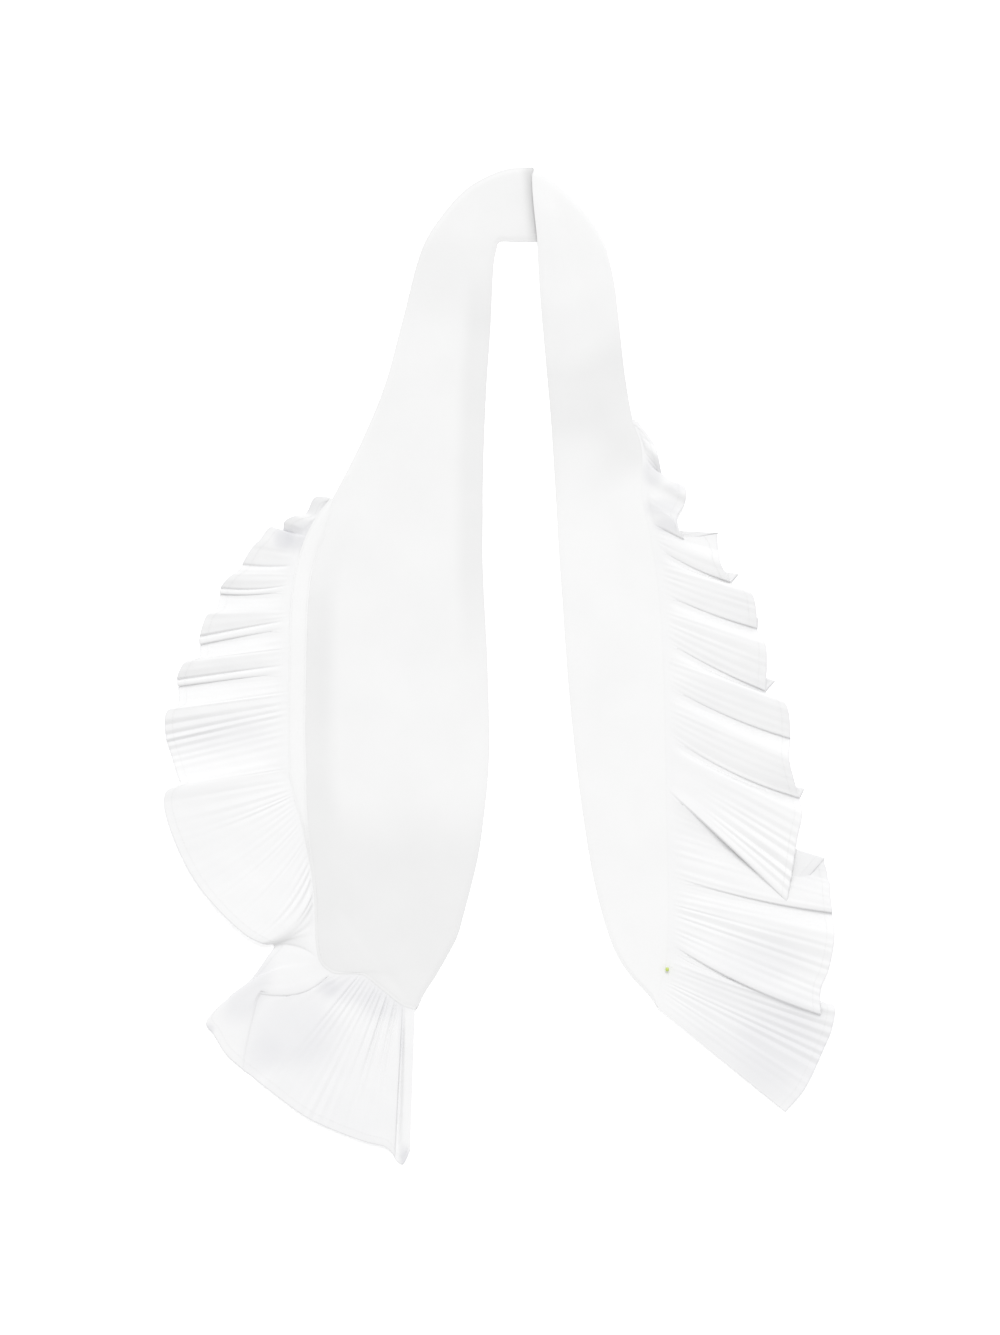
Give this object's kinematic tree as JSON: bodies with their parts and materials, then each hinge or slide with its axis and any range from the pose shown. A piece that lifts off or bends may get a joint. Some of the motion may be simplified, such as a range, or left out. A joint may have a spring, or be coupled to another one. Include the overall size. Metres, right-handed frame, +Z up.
{
  "type": "ruffled tie",
  "caption": "Flat cotton neck tie with a wide and a narrow wing, folded over at the neck, each wing edged with a pleated ruffle.",
  "frame": {"origin": "middle of the tie's box, on the surface that it lies on", "axes": "+Y from the lower tips of the wings to the neckband, +X to the right seen from above, +Z up from the surface"},
  "size_m": [0.535, 0.7964, 0.0215],
  "materials": {
    "cotton": "matte white poplin",
    "bead": "satin pale yellow-green"
  },
  "bodies": {
    "root": {"tie_body": "cotton", "left_ruffle": "cotton", "right_ruffle": "cotton", "left_heading_band": "cotton", "right_heading_band": "cotton", "corner_bead": "bead"}
  },
  "joints": []
}
